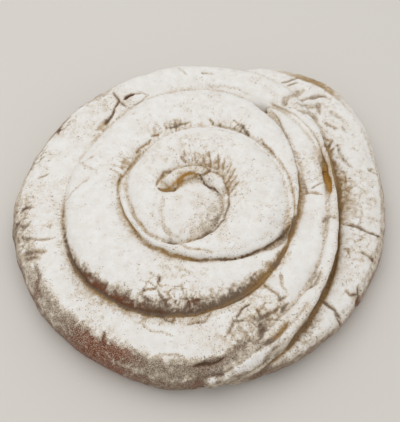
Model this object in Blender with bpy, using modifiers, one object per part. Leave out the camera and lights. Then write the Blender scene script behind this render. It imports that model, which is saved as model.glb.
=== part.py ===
"""Ensaimada: a long rope of laminated dough, coiled flat and baked on a tray into one loaf.

The rope is laid clockwise from the middle outwards. Each turn leans on the one outside it, so the
loaf steps down from the centre to the rim, and the free end lies along the right-hand side.
Lengths are in millimetres in this script and are turned to metres when a mesh is made.
The loaf stands on z = 0 with the middle of its outline at the origin.
"""

import math
from dataclasses import dataclass

import bmesh
import bpy
from mathutils import Vector, noise

METRES = 0.001  # one millimetre

# The loaf as a whole.
COIL_CENTRE = (-6.9, -12.6)  # the coil's middle, seen from the middle of the outline
STATION_STEP = 30.0  # degrees of coil between two measured places on a turn

# How a turn is shaped across its width.
ROUNDNESS = 2.5  # 2 is an ellipse, more is a flatter back with fuller sides
HALF_HEIGHT_MOST = 18.0
HALF_HEIGHT_LEAST = 5.0
HALF_HEIGHT_PER_HALF_WIDTH = 0.62
BELLY = 1.3  # how much deeper its under side is than its back
TUCK_MOST = 9.0  # how far a turn runs in under its inner neighbour
TUCK_PER_WIDTH = 0.25

# How finely it is modelled.
RIBS_PER_STATION = 6
POINTS_ROUND = 28
WELD = 0.02  # points of a tube nearer than this become one
VOXEL = 2.0
TRIANGLES = 15500  # of the whole remeshed lump; about a third lie under the cut

# The dough's lumps: (size, depth).
LUMPS = ((34.0, 1.3), (13.0, 0.8), (6.0, 0.35))

CRUST_COLOUR = (0.78, 0.72, 0.64, 1.0)  # icing sugar over a golden crust


@dataclass(frozen=True)
class Turn:
    """One turn of the rope. Its rows hold a value at every STATION_STEP, clockwise from start."""

    start: float  # degrees anticlockwise from +X
    inner: tuple  # radius of the groove on its inner side
    outer: tuple  # radius of its outer edge
    crest: tuple  # height of its back
    nose: float  # degrees over which each end rounds off


INNER_TURN = Turn(
    start=240.0,
    inner=(30, 26, 24, 26, 36, 38, 36, 30, 28, 27, 29, 31, 36, 40, 46, 53),
    outer=(38, 42, 45, 57, 66, 78, 80, 79, 75, 66, 51, 43, 42, 45, 53, 60),
    crest=(43, 45, 46, 47, 47, 47, 47, 47, 47, 46, 45, 44, 44, 43, 42, 38),
    nose=10.0,
)
MIDDLE_TURN = Turn(
    start=-20.0,
    inner=(72, 54, 44, 42, 43, 50, 55, 63, 75, 80, 79, 75, 72),
    outer=(75, 77, 80, 86, 94, 95, 100, 107, 121, 121, 101, 84, 75),
    crest=(38, 41, 41, 41, 41, 41, 41, 40, 40, 41, 42, 43, 43),
    nose=14.0,
)
OUTER_TURN = Turn(
    start=60.0,
    inner=(117, 94, 81, 74, 78, 82, 90, 98, 95, 100, 110, 124, 126, 115, 103, 104, 109, 115),
    outer=(123, 117, 105, 106, 113, 128, 127, 130, 136, 139, 147, 154, 150, 123, 109, 112, 123, 131),
    crest=(36, 37, 38, 38, 36, 34, 33, 33, 33, 33, 33, 33, 34, 38, 40, 40, 37, 31),
    nose=9.0,
)
FREE_END = Turn(
    start=80.0,
    inner=(136, 127, 113, 111, 115, 119, 122),
    outer=(158, 179, 158, 144, 134, 129, 125),
    crest=(28, 30, 30, 29, 28, 25, 16),
    nose=14.0,
)
TURNS = (INNER_TURN, MIDDLE_TURN, OUTER_TURN, FREE_END)

# The rope's tip, a finger of dough that curls over the middle: (x, y, z, radius) from the coil's middle.
TIP_END = 0.14  # share of the finger over which each end rounds off
TIP_ROLL = ((-20, 17, 44, 6.0), (-9, 27, 46, 6.0), (5, 31, 45, 5.6), (17, 25, 42, 7.0), (25, 11, 39, 6.0))

# The dough inside the first turn and the dough under all of them: (centre, radii, top, bottom).
MIDDLE_BULGE = ((-9.9, -12.1), (31.0, 30.5), 45.0, 17.0)
CORE_BULGE = ((0.0, 0.0), (128.0, 128.0), 27.0, -13.5)


def clear_scene():
    """Removes whatever the file already holds."""
    for obj in list(bpy.data.objects):
        bpy.data.objects.remove(obj)


def spline_value(values, place):
    """A smooth curve through evenly spaced values, read at place, which counts in steps."""
    last = len(values) - 1
    place = min(max(place, 0.0), float(last))
    i = min(int(place), last - 1)
    t = place - i
    before, a, b, after = values[max(i - 1, 0)], values[i], values[i + 1], values[min(i + 2, last)]
    slope_a, slope_b = (b - before) / 2, (after - a) / 2
    rest = 3 * (b - a) - 2 * slope_a - slope_b
    return a + t * (slope_a + t * (rest + t * (slope_a + slope_b - 2 * (b - a))))


def signed_power(value, power):
    """value to a power, keeping its sign."""
    return math.copysign(abs(value) ** power, value)


def rounded_end(distance, length):
    """The share of its full width that a rope has at a distance from its end."""
    if distance >= length:
        return 1.0
    return math.sqrt(max(1 - (1 - distance / length) ** 2, 0.0))


def wrapped_tube(name, ribs, place_point):
    """A closed tube: a grid whose corner (u, v) goes to place_point(u, v), welded along v and at both ends."""
    mesh = bpy.data.meshes.new(name)
    bm = bmesh.new()
    bmesh.ops.create_grid(bm, x_segments=ribs, y_segments=POINTS_ROUND, size=0.5)
    for vert in bm.verts:
        vert.co = Vector(place_point(vert.co.x + 0.5, vert.co.y + 0.5)) * METRES
    bmesh.ops.remove_doubles(bm, verts=bm.verts, dist=WELD * METRES)
    bmesh.ops.recalc_face_normals(bm, faces=bm.faces)
    bm.to_mesh(mesh)
    bm.free()
    obj = bpy.data.objects.new(name, mesh)
    bpy.context.collection.objects.link(obj)
    return obj


def add_turn(name, turn):
    """One turn of the rope as a tube with a rounded, flattened section."""
    steps = len(turn.inner) - 1
    sweep = steps * STATION_STEP

    def place_point(u, v):
        inner, outer, crest = (spline_value(row, u * steps) for row in (turn.inner, turn.outer, turn.crest))
        inner -= min(TUCK_MOST, TUCK_PER_WIDTH * (outer - inner))
        half_width = (outer - inner) / 2
        half_height = min(HALF_HEIGHT_MOST, HALF_HEIGHT_LEAST + HALF_HEIGHT_PER_HALF_WIDTH * half_width)
        end = rounded_end(min(u, 1 - u) * sweep, turn.nose)
        round_angle = 2 * math.pi * v
        across = half_width * end * signed_power(math.cos(round_angle), 2 / ROUNDNESS)
        up = half_height * end * signed_power(math.sin(round_angle), 2 / ROUNDNESS)
        if up < 0:
            up *= BELLY
        radius = (inner + outer) / 2 + across
        angle = math.radians(turn.start - u * sweep)
        x = COIL_CENTRE[0] + radius * math.cos(angle)
        y = COIL_CENTRE[1] + radius * math.sin(angle)
        return x, y, crest - half_height + up

    return wrapped_tube(name, steps * RIBS_PER_STATION, place_point)


def add_tip():
    """The rope's inner tip, a round finger along a curved line."""
    steps = len(TIP_ROLL) - 1
    columns = tuple(zip(*TIP_ROLL))

    def middle_line(place):
        return Vector([spline_value(column, place) for column in columns[:3]])

    def place_point(u, v):
        place = u * steps
        ahead = middle_line(min(place + 0.05, steps)) - middle_line(max(place - 0.05, 0.0))
        side = ahead.cross(Vector((0, 0, 1))).normalized()
        rise = side.cross(ahead).normalized()
        radius = spline_value(columns[3], place) * rounded_end(min(u, 1 - u), TIP_END)
        round_angle = 2 * math.pi * v
        point = middle_line(place) + side * radius * math.cos(round_angle) + rise * radius * math.sin(round_angle)
        return point.x + COIL_CENTRE[0], point.y + COIL_CENTRE[1], point.z

    return wrapped_tube("tip", steps * RIBS_PER_STATION, place_point)


def add_bulge(name, centre, radii, top, bottom):
    """A flattened ball of dough from bottom to top."""
    half_height = (top - bottom) / 2
    bpy.ops.mesh.primitive_uv_sphere_add(segments=48, ring_count=24, radius=1.0)
    obj = bpy.context.object
    obj.name = name
    for vert in obj.data.vertices:
        x, y, z = vert.co
        spread = max(1 - abs(z) ** 3, 0.0) ** 0.5 / max(math.hypot(x, y), 1e-6)
        vert.co = (
            (centre[0] + radii[0] * x * spread) * METRES,
            (centre[1] + radii[1] * y * spread) * METRES,
            (bottom + half_height * (1 + z)) * METRES,
        )
    return obj


def apply_modifiers(obj):
    """Makes the evaluated mesh the object's own."""
    graph = bpy.context.evaluated_depsgraph_get()
    mesh = bpy.data.meshes.new_from_object(obj.evaluated_get(graph))
    obj.modifiers.clear()
    obj.data = mesh


def fuse(objects, name):
    """Joins overlapping shapes and remakes their common outside as one closed skin."""
    bpy.ops.object.select_all(action="DESELECT")
    for obj in objects:
        obj.select_set(True)
    bpy.context.view_layer.objects.active = objects[0]
    bpy.ops.object.join()
    loaf = bpy.context.object
    loaf.name = name
    remesh = loaf.modifiers.new("one skin", "REMESH")
    remesh.mode = "VOXEL"
    remesh.voxel_size = VOXEL * METRES
    apply_modifiers(loaf)
    return loaf


def raise_lumps(mesh):
    """Moves the skin in and out by smooth noise of each size in LUMPS."""
    normals = [vert.normal.copy() for vert in mesh.vertices]
    for vert, normal in zip(mesh.vertices, normals):
        shift = sum(depth * noise.noise(vert.co / (size * METRES)) for size, depth in LUMPS)
        vert.co += normal * shift * METRES
    mesh.update()


def thin_out(loaf, triangles):
    """Collapses the mesh to about that many triangles."""
    decimate = loaf.modifiers.new("fewer faces", "DECIMATE")
    decimate.ratio = triangles / sum(len(face.vertices) - 2 for face in loaf.data.polygons)
    apply_modifiers(loaf)


def cut_flat_base(mesh):
    """Cuts the loaf level at z = 0, where it lay on the tray, and closes the cut."""
    bm = bmesh.new()
    bm.from_mesh(mesh)
    bmesh.ops.bisect_plane(
        bm, geom=[*bm.verts, *bm.edges, *bm.faces], plane_co=(0, 0, 0), plane_no=(0, 0, 1), clear_inner=True
    )
    rim = [edge for edge in bm.edges if edge.is_boundary]
    bmesh.ops.holes_fill(bm, edges=rim, sides=0)
    bmesh.ops.recalc_face_normals(bm, faces=bm.faces)
    bm.to_mesh(mesh)
    bm.free()


def centre_on_origin(mesh):
    """Moves the loaf level, so that the middle of its outline is over the origin."""
    xs = [vert.co.x for vert in mesh.vertices]
    ys = [vert.co.y for vert in mesh.vertices]
    middle = Vector(((min(xs) + max(xs)) / 2, (min(ys) + max(ys)) / 2, 0))
    for vert in mesh.vertices:
        vert.co -= middle
    mesh.update()


def crust_material():
    """A dry crust under icing sugar."""
    material = bpy.data.materials.new("sugared_crust")
    material.use_nodes = True
    shader = material.node_tree.nodes["Principled BSDF"]
    shader.inputs["Base Color"].default_value = CRUST_COLOUR
    shader.inputs["Roughness"].default_value = 0.9
    return material


def main():
    clear_scene()
    collection = bpy.data.collections.new("ensaimada_parts")
    bpy.context.scene.collection.children.link(collection)
    bpy.context.view_layer.active_layer_collection = bpy.context.view_layer.layer_collection.children[-1]
    shapes = [add_turn(f"turn_{number}", turn) for number, turn in enumerate(TURNS, 1)]
    shapes.append(add_tip())
    shapes.append(add_bulge("middle", *MIDDLE_BULGE))
    shapes.append(add_bulge("core", *CORE_BULGE))
    loaf = fuse(shapes, "ensaimada")
    raise_lumps(loaf.data)
    thin_out(loaf, TRIANGLES)
    cut_flat_base(loaf.data)
    centre_on_origin(loaf.data)
    loaf.data.materials.clear()
    loaf.data.materials.append(crust_material())
    loaf.data.shade_smooth()


main()
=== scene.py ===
"""Dresses the ensaimada: a coiled loaf of laminated dough, baked and thickly dusted with icing sugar.

The loaf is shaped from the same rope as the solid, at a finer size, and its skin is then worked: the
dough's lumps, the folds and cracks between turns, and the wrinkles in its free end. Every point of the
skin also keeps the values in STORED, which the finish reads: how bare of sugar it is, how dark the crust
was baked, how dark the painted shade in a crack is, how far the sugar has split into flakes, and how much
loose sugar lies on bare crust. In hollows, and below the step of the middle turn, some of the bareness and
baking is painted shade.

Sizes are in millimetres and angles in degrees, seen from the coil's middle, anticlockwise from +X.
"""

from __future__ import annotations

import logging
import math
from collections.abc import Callable, Iterable
from dataclasses import dataclass
from enum import Enum

import bpy
import numpy as np
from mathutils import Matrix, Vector, noise

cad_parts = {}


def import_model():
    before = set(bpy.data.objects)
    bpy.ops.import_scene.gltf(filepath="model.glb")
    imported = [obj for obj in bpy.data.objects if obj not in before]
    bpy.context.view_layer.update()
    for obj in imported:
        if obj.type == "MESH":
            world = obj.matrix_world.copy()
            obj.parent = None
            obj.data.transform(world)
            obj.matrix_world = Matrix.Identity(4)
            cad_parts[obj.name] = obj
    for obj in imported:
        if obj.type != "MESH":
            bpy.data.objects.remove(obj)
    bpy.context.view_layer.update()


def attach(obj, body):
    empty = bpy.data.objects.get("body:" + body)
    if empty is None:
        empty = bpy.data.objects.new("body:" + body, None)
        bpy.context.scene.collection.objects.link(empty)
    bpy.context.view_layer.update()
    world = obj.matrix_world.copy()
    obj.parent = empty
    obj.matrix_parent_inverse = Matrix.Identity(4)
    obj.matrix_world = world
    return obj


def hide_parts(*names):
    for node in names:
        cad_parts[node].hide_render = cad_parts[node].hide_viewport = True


LOG = logging.getLogger("ensaimada")

METRES = 0.001  # one millimetre
TINY = 1e-6  # keeps a division or a test away from zero
NODE = "ensaimada"
BODY = "root"

COIL_CENTRE = (-6.76, -12.37)  # the coil's middle, seen from the middle of the outline
STATION_STEP = 30.0  # degrees of coil between two measured places on a turn

STORED = ("bare", "bake", "crack_shade", "split", "dust")  # the values that every point of the skin keeps

Point = tuple[float, float, float]
Row = tuple[float, ...]
Span = tuple[float, float]
Layers = tuple[Point, ...]
Socket = bpy.types.NodeSocket


# ----------------------------------------
# Small helpers
# ----------------------------------------


def linear(hex_colour: str) -> tuple[float, float, float, float]:
    """Turns an sRGB hex colour to the linear colour that a shader takes.

    Args:
        hex_colour: Six hex digits.

    Returns:
        Linear red, green and blue, with alpha 1.
    """
    parts = [int(hex_colour[i : i + 2], 16) / 255 for i in (0, 2, 4)]
    red, green, blue = (p / 12.92 if p <= 0.04045 else ((p + 0.055) / 1.055) ** 2.4 for p in parts)
    return red, green, blue, 1.0


def spline_value(values: Row, place: float) -> float:
    """Reads a smooth curve through evenly spaced values.

    Args:
        values: The values that the curve passes through.
        place: Where to read it, counted in steps from the first value.

    Returns:
        The curve's value there.
    """
    last = len(values) - 1
    place = min(max(place, 0.0), float(last))
    i = min(int(place), last - 1)
    t = place - i
    before, a, b, after = values[max(i - 1, 0)], values[i], values[i + 1], values[min(i + 2, last)]
    slope_a, slope_b = (b - before) / 2, (after - a) / 2
    rest = 3 * (b - a) - 2 * slope_a - slope_b
    return a + t * (slope_a + t * (rest + t * (slope_a + slope_b - 2 * (b - a))))


def signed_power(value: float, power: float) -> float:
    """Returns value to a power, keeping its sign."""
    return math.copysign(abs(value) ** power, value)


def rounded_end(distance: float, length: float) -> float:
    """Rounds off a rope's end.

    Args:
        distance: How far a place is from the end.
        length: How far from it the rope reaches its full width.

    Returns:
        The share of its full width that the rope has there.
    """
    if distance >= length:
        return 1.0
    return math.sqrt(max(1 - (1 - distance / length) ** 2, 0.0))


def smooth_step(values: np.ndarray, low: float, high: float) -> np.ndarray:
    """Returns 0 below low and 1 above high, with a smooth rise between."""
    t = np.clip((values - low) / (high - low), 0.0, 1.0)
    return t * t * (3 - 2 * t)


def deselect_all() -> None:
    """Leaves nothing selected, so that an operator acts on the new piece alone."""
    if bpy.context.object and bpy.context.object.mode != "OBJECT":
        bpy.ops.object.mode_set(mode="OBJECT")
    bpy.ops.object.select_all(action="DESELECT")


def select_only(objects: Iterable[bpy.types.Object]) -> None:
    """Selects these objects alone and makes the first one active.

    Args:
        objects: What to select.
    """
    deselect_all()
    for obj in objects:
        obj.select_set(True)
    bpy.context.view_layer.objects.active = next(iter(bpy.context.selected_objects), None)


def edit_all(obj: bpy.types.Object, *steps: Callable[[], object]) -> None:
    """Runs edit-mode operators on the whole of one mesh.

    Args:
        obj: The mesh object.
        *steps: Calls that each run one operator.
    """
    select_only([obj])
    bpy.ops.object.mode_set(mode="EDIT")
    bpy.ops.mesh.select_all(action="SELECT")
    for step in steps:
        step()
    bpy.ops.object.mode_set(mode="OBJECT")


def read_points(mesh: bpy.types.Mesh) -> np.ndarray:
    """Reads a mesh's points.

    Args:
        mesh: The mesh.

    Returns:
        Its points in millimetres, one row each.
    """
    points = np.empty(len(mesh.vertices) * 3)
    mesh.vertices.foreach_get("co", points)
    return points.reshape(-1, 3) / METRES


def write_points(mesh: bpy.types.Mesh, points: np.ndarray) -> None:
    """Puts the mesh's points where an array in millimetres says."""
    mesh.vertices.foreach_set("co", (points * METRES).ravel())
    mesh.update()


def read_normals(mesh: bpy.types.Mesh) -> np.ndarray:
    """Reads the directions in which a mesh's points face.

    Args:
        mesh: The mesh.

    Returns:
        Its point normals, one row each.
    """
    normals = np.empty(len(mesh.vertices) * 3)
    mesh.vertex_normals.foreach_get("vector", normals)
    return normals.reshape(-1, 3)


def smooth_noise(points: np.ndarray, size: float, offset: float = 0.0) -> np.ndarray:
    """Reads gradient noise at every point.

    Args:
        points: Places in millimetres, one row each.
        size: How big the noise's lumps are, in millimetres.
        offset: Shifts the noise, so that two layers of one size differ.

    Returns:
        One value for each point, from about -1 to 1.
    """
    rows = (points / size + offset).tolist()
    return np.array([noise.noise(row) for row in rows])


def layered_noise(points: np.ndarray, layers: Layers) -> np.ndarray:
    """Adds up noises, each given as (strength, size, offset)."""
    return sum(strength * smooth_noise(points, size, offset) for strength, size, offset in layers)


def bell(distance: np.ndarray, width: float | np.ndarray) -> np.ndarray:
    """Returns 1 at no distance, fading on both sides and down to about a third at the width."""
    return np.exp(-((distance / width) ** 2))


def degrees_apart(angle: np.ndarray, other: float) -> np.ndarray:
    """Returns how far each angle is from another, from 0 to 180 degrees."""
    return np.abs((angle - other + 180.0) % 360.0 - 180.0)


# ----------------------------------------
# The rope's turns
# ----------------------------------------


@dataclass(frozen=True)
class Turn:
    """One turn of the rope. Its rows hold a value at every STATION_STEP, clockwise from start."""

    name: str
    start: float
    inner: Row  # radius of the groove on its inner side
    outer: Row  # radius of its outer edge
    crest: Row  # height of its back
    nose: float  # degrees over which each end rounds off


INNER_TURN = Turn(
    name="inner_turn",
    start=240.0,
    inner=(30, 26, 24, 26, 36, 38, 36, 30, 28, 27, 29, 31, 36, 40, 46, 53),
    outer=(38, 42, 45, 57, 66, 78, 80, 79, 75, 66, 51, 43, 42, 45, 53, 60),
    crest=(43, 45, 46, 47, 47, 47, 47, 47, 47, 46, 45, 44, 44, 43, 42, 38),
    nose=10.0,
)
MIDDLE_TURN = Turn(
    name="middle_turn",
    start=-20.0,
    inner=(72, 54, 44, 42, 43, 50, 55, 63, 75, 80, 79, 75, 72),
    outer=(75, 77, 80, 86, 94, 95, 100, 107, 121, 121, 101, 84, 75),
    crest=(38, 41, 41, 41, 41, 41, 41, 40, 40, 41, 42, 43, 43),
    nose=14.0,
)
OUTER_TURN = Turn(
    name="outer_turn",
    start=60.0,
    inner=(117, 94, 81, 74, 78, 82, 90, 98, 95, 100, 110, 124, 126, 115, 103, 104, 109, 115),
    outer=(123, 117, 105, 106, 113, 128, 127, 130, 136, 139, 147, 154, 150, 123, 109, 112, 123, 131),
    crest=(36, 37, 38, 38, 36, 34, 33, 33, 33, 33, 33, 33, 34, 38, 40, 40, 37, 31),
    nose=9.0,
)
FREE_END = Turn(
    name="free_end",
    start=80.0,
    inner=(136, 127, 113, 111, 115, 119, 122),
    outer=(158, 179, 158, 144, 134, 129, 125),
    crest=(28, 30, 30, 29, 28, 25, 16),
    nose=14.0,
)


@dataclass(frozen=True)
class Ball:
    """A flattened ball of dough."""

    name: str
    centre: tuple[float, float]
    radii: tuple[float, float]
    top: float
    bottom: float


MIDDLE_BALL = Ball("middle", (-9.76, -11.87), (31.0, 30.5), 45.0, 17.0)
CORE_BALL = Ball("core", (0.0, 0.0), (128.0, 128.0), 27.0, -13.5)

# The rope's tip, a finger of dough that curls over the middle: (x, y, z, radius) from the coil's middle.
TIP_ROLL = ((-20, 18, 43, 6), (-10, 25, 44, 6.2), (3, 30, 43.5, 5.6), (17, 25, 41, 7), (25, 11, 39, 6))


@dataclass
class DoughRope:
    """Shapes the coil's turns and fuses them into one closed skin."""

    roundness: float = 2.5  # 2 is an ellipse, more is a flatter back with fuller sides
    half_height_most: float = 18.0
    half_height_least: float = 5.0
    half_height_per_half_width: float = 0.62
    belly: float = 1.3  # how much deeper its under side is than its back
    tuck_most: float = 9.0  # how far a turn runs in under its inner neighbour
    tuck_per_width: float = 0.25
    tip_end: float = 0.14  # share of the finger over which each end rounds off
    ribs_per_station: int = 16
    points_round: int = 72
    weld: float = 0.02
    voxel: float = 1.16
    ball_segments: int = 96
    ball_roundness: int = 3
    tip_aim: float = 0.05  # stations that the finger's direction is read over, each way

    def wrap_tube(self, name: str, ribs: int, place: Callable[[float, float], Point]) -> bpy.types.Object:
        """Wraps a grid into a closed tube.

        Args:
            name: The new object's name.
            ribs: How many rings of points it has along its length.
            place: Gives the point, in millimetres, for a share of the length and of the way round.

        Returns:
            The tube, welded along its seam and at both ends, with its faces outwards.
        """
        bpy.ops.mesh.primitive_grid_add(x_subdivisions=ribs, y_subdivisions=self.points_round, size=1.0)
        tube = bpy.context.object
        tube.name = name
        grid = read_points(tube.data) * METRES + 0.5  # from 0 to 1 both ways
        write_points(tube.data, np.array([place(u, v) for u, v, _ in grid.tolist()]))
        edit_all(
            tube,
            lambda: bpy.ops.mesh.remove_doubles(threshold=self.weld * METRES),
            lambda: bpy.ops.mesh.normals_make_consistent(inside=False),
        )
        return tube

    def build_turn(self, turn: Turn) -> bpy.types.Object:
        """Makes one turn of the rope, a tube with a rounded, flattened section.

        Args:
            turn: The turn's measured rows.

        Returns:
            The turn's closed tube.
        """
        steps = len(turn.inner) - 1
        sweep = steps * STATION_STEP

        def place(u: float, v: float) -> Point:
            """Places one point of the turn's tube.

            Args:
                u: Share of the tube's length.
                v: Share of the way round it.

            Returns:
                The point.
            """
            rows = (turn.inner, turn.outer, turn.crest)
            inner, outer, crest = (spline_value(row, u * steps) for row in rows)
            inner -= min(self.tuck_most, self.tuck_per_width * (outer - inner))
            half_width = (outer - inner) / 2
            half_height = self.half_height_least + self.half_height_per_half_width * half_width
            half_height = min(self.half_height_most, half_height)
            end = rounded_end(min(u, 1 - u) * sweep, turn.nose)
            round_angle = 2 * math.pi * v
            across = half_width * end * signed_power(math.cos(round_angle), 2 / self.roundness)
            up = half_height * end * signed_power(math.sin(round_angle), 2 / self.roundness)
            if up < 0:
                up *= self.belly
            radius = (inner + outer) / 2 + across
            angle = math.radians(turn.start - u * sweep)
            x = COIL_CENTRE[0] + radius * math.cos(angle)
            y = COIL_CENTRE[1] + radius * math.sin(angle)
            return x, y, crest - half_height + up

        return self.wrap_tube(turn.name, steps * self.ribs_per_station, place)

    def build_tip(self) -> bpy.types.Object:
        """Makes the rope's inner tip, a round finger along a curved line.

        Returns:
            The finger's closed tube.
        """
        steps = len(TIP_ROLL) - 1
        columns = tuple(zip(*TIP_ROLL))

        def middle_line(where: float) -> Vector:
            """Returns the place on the finger's middle line, counted in stations."""
            return Vector([spline_value(column, where) for column in columns[:3]])

        def place(u: float, v: float) -> Point:
            """Places one point of the finger's tube.

            Args:
                u: Share of the tube's length.
                v: Share of the way round it.

            Returns:
                The point.
            """
            where = u * steps
            before, after = max(where - self.tip_aim, 0.0), min(where + self.tip_aim, steps)
            ahead = middle_line(after) - middle_line(before)
            side = ahead.cross(Vector((0, 0, 1))).normalized()
            rise = side.cross(ahead).normalized()
            radius = spline_value(columns[3], where) * rounded_end(min(u, 1 - u), self.tip_end)
            turned = 2 * math.pi * v
            spot = middle_line(where) + side * radius * math.cos(turned) + rise * radius * math.sin(turned)
            return spot.x + COIL_CENTRE[0], spot.y + COIL_CENTRE[1], spot.z

        return self.wrap_tube("tip", steps * self.ribs_per_station, place)

    def build_ball(self, ball: Ball) -> bpy.types.Object:
        """Makes a flattened ball of dough.

        Args:
            ball: Its place and sizes.

        Returns:
            The ball's closed mesh.
        """
        bpy.ops.mesh.primitive_uv_sphere_add(
            segments=self.ball_segments, ring_count=self.ball_segments // 2, radius=1.0
        )
        obj = bpy.context.object
        obj.name = ball.name
        x, y, z = (read_points(obj.data) * METRES).T
        spread = np.sqrt(np.maximum(1 - np.abs(z) ** self.ball_roundness, 0.0))
        spread /= np.maximum(np.hypot(x, y), TINY)
        half_height = (ball.top - ball.bottom) / 2
        columns = (
            ball.centre[0] + ball.radii[0] * x * spread,
            ball.centre[1] + ball.radii[1] * y * spread,
            ball.bottom + half_height * (1 + z),
        )
        write_points(obj.data, np.stack(columns, axis=1))
        return obj

    def build(self) -> bpy.types.Object:
        """Makes every turn and fuses them.

        Returns:
            The raw loaf: one closed skin, with its lower part still uncut.
        """
        shapes = [self.build_turn(turn) for turn in (INNER_TURN, MIDDLE_TURN, OUTER_TURN, FREE_END)]
        shapes.append(self.build_tip())
        shapes.extend(self.build_ball(ball) for ball in (MIDDLE_BALL, CORE_BALL))
        select_only(shapes)
        bpy.ops.object.join()
        loaf = bpy.context.object
        remesh = loaf.modifiers.new("one skin", "REMESH")
        remesh.mode = "VOXEL"
        remesh.voxel_size = self.voxel * METRES
        bpy.ops.object.modifier_apply(modifier=remesh.name)
        return self.keep_largest(loaf)

    def keep_largest(self, loaf: bpy.types.Object) -> bpy.types.Object:
        """Drops the skins of air pockets sealed between turns.

        Args:
            loaf: The fused loaf.

        Returns:
            The loaf's outer skin alone.
        """
        edit_all(loaf, lambda: bpy.ops.mesh.separate(type="LOOSE"))
        pieces = sorted(bpy.context.selected_objects, key=lambda obj: -len(obj.data.vertices))
        for scrap in pieces[1:]:
            bpy.data.objects.remove(scrap)
        pieces[0].name = "sugared_loaf"
        select_only(pieces[:1])
        return pieces[0]


# ----------------------------------------
# The worked skin
# ----------------------------------------


class Pattern(Enum):
    """How the crust shows within a patch."""

    VEIL = "veil"  # evenly, through thin sugar
    VEINS = "veins"  # along fine wandering cracks
    PLEATS = "pleats"  # along short folds that run across the turn


@dataclass(frozen=True)
class Crease:
    """A crack or fold along a line, read in plan."""

    line: Row  # degrees and radius of its corners in turn
    width: float  # to where it has faded to a third
    depth: float  # down into the dough
    bare: float = 0.0  # how much sugar is missing along it
    bake: float = 0.0  # how much darker the crust is along it
    spread: float = 1.0  # how much wider the bare crust is than the dent


@dataclass(frozen=True)
class Edge:
    """A long edge of dough that runs round the coil, with baked crust on its side.

    Each column holds a value for every angle, or one value for all of them.
    """

    name: str
    angles: Row
    radii: Row
    inside: float | Row  # how far the crust shows on its inner side
    outside: float | Row
    bare: float | Row  # how much sugar is missing
    bake: float | Row  # how much darker the crust is
    depth: float = 0.0  # of the crevice along it
    width: float = 1.2  # of the crevice, to where it has faded to a third
    lip: float = 0.0  # how far the dough stands up just inside it
    painted_shade: float = 0.85  # the most painted shade that its crevice takes

    def read(self, column: float | Row, angles: np.ndarray) -> np.ndarray:
        """Returns a column's value at each of these angles."""
        return np.interp(angles, self.angles, np.broadcast_to(column, len(self.angles)))


@dataclass(frozen=True)
class Patch:
    """An area round (degrees, radius) where the sugar is thin or the crust is dark."""

    angle: float
    radius: float
    along: float  # half length along the turn
    across: float  # half width across it
    bare: float
    bake: float = 0.0
    pattern: Pattern = Pattern.VEIL
    depth: float = 0.0  # of the pattern's cracks or folds


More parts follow.
